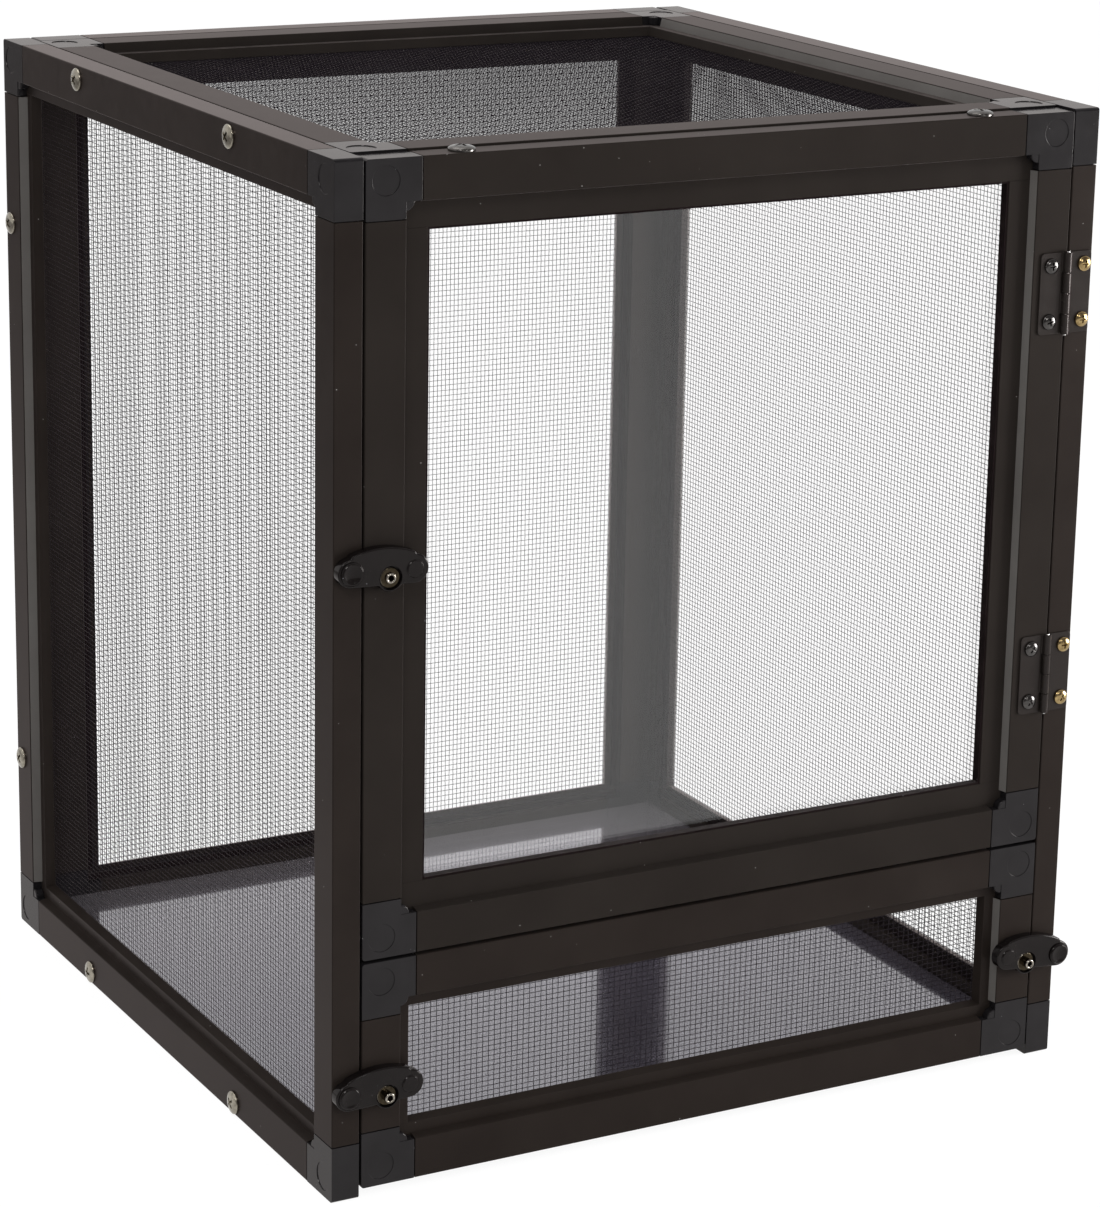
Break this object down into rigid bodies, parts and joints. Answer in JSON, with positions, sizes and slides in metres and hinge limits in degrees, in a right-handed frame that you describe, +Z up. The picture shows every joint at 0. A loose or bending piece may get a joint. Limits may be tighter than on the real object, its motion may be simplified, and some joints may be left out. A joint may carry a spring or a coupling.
{
  "type": "reptile terrarium",
  "caption": "Upright screened reptile cage with a hinged clear-pane door, a low removable screened door, turning latches and a plastic floor sheet.",
  "frame": {"origin": "on the ground, below the middle of the cage's overall box", "axes": "+Z up, -Y towards the doors, +X towards the door's hinges (the viewer's right)"},
  "size_m": [0.4306, 0.4312, 0.5099],
  "materials": {
    "frame_metal": "satin",
    "connector_plastic": "gloss",
    "screen_mesh": "satin",
    "seal_rubber": "matt",
    "clear_pane": "clear gloss",
    "floor_plastic": "gloss",
    "screw_steel": "satin",
    "screw_brass": "satin",
    "screw_black": "satin",
    "hinge_metal": "satin",
    "latch_plastic": "satin",
    "stud_brass": "polished"
  },
  "bodies": {
    "cage": {"left_top_rail": "frame_metal", "left_bottom_rail": "frame_metal", "left_front_stile": "frame_metal", "left_rear_stile": "frame_metal", "left_corners": "connector_plastic", "left_screen": "screen_mesh", "right_top_rail": "frame_metal", "right_bottom_rail": "frame_metal", "right_front_stile": "frame_metal", "right_rear_stile": "frame_metal", "right_corners": "connector_plastic", "right_screen": "screen_mesh", "back_top_rail": "frame_metal", "back_bottom_rail": "frame_metal", "back_left_stile": "frame_metal", "back_right_stile": "frame_metal", "back_corners": "connector_plastic", "back_screen": "screen_mesh", "top_front_rail": "frame_metal", "top_rear_rail": "frame_metal", "top_left_rail": "frame_metal", "top_right_rail": "frame_metal", "top_corners": "connector_plastic", "top_screen": "screen_mesh", "floor_front_bar": "frame_metal", "floor_rear_bar": "frame_metal", "floor_left_bar": "frame_metal", "floor_right_bar": "frame_metal", "floor_corners": "connector_plastic", "floor_sheet": "floor_plastic", "cage_splines": "seal_rubber", "panel_screws": "screw_steel", "upper_hinge_frame_leaf": "hinge_metal", "lower_hinge_frame_leaf": "hinge_metal", "hinge_pins": "screw_steel", "hinge_frame_screws": "screw_brass"},
    "main_door": {"door_top_rail": "frame_metal", "door_bottom_rail": "frame_metal", "door_latch_stile": "frame_metal", "door_hinge_stile": "frame_metal", "door_corners": "connector_plastic", "door_pane": "clear_pane", "pane_seal": "seal_rubber", "door_top_screws": "screw_steel", "upper_hinge_door_leaf": "hinge_metal", "lower_hinge_door_leaf": "hinge_metal", "hinge_door_screws": "screw_black", "main_latch_stud": "stud_brass"},
    "lower_door": {"lower_top_rail": "frame_metal", "lower_bottom_rail": "frame_metal", "lower_left_stile": "frame_metal", "lower_right_stile": "frame_metal", "lower_corners": "connector_plastic", "lower_screen": "screen_mesh", "lower_splines": "seal_rubber", "lower_latch_studs": "stud_brass"},
    "main_latch": {"main_latch": "latch_plastic"},
    "lower_left_latch": {"lower_left_latch": "latch_plastic"},
    "lower_right_latch": {"lower_right_latch": "latch_plastic"}
  },
  "joints": [
    {"name": "main_door_hinge", "type": "hinge", "parent": "cage", "child": "main_door", "pos_m": [0.1947, -0.20875, 0.3145], "axis": [0, 0, 1], "range_deg": [0, 165]},
    {"name": "lower_door_slide", "type": "slide", "parent": "cage", "child": "lower_door", "axis": [0, -1, 0], "range_m": [0, 0.15]},
    {"name": "main_latch_turn", "type": "hinge", "parent": "main_door", "child": "main_latch", "pos_m": [-0.1843, -0.2064, 0.3119], "axis": [0, -1, 0], "range_deg": [0, 90]},
    {"name": "lower_left_latch_turn", "type": "hinge", "parent": "lower_door", "child": "lower_left_latch", "pos_m": [-0.1843, -0.2064, 0.0532], "axis": [0, -1, 0], "range_deg": [0, 90]},
    {"name": "lower_right_latch_turn", "type": "hinge", "parent": "lower_door", "child": "lower_right_latch", "pos_m": [0.1899, -0.2064, 0.056], "axis": [0, 1, 0], "range_deg": [0, 90]}
  ]
}
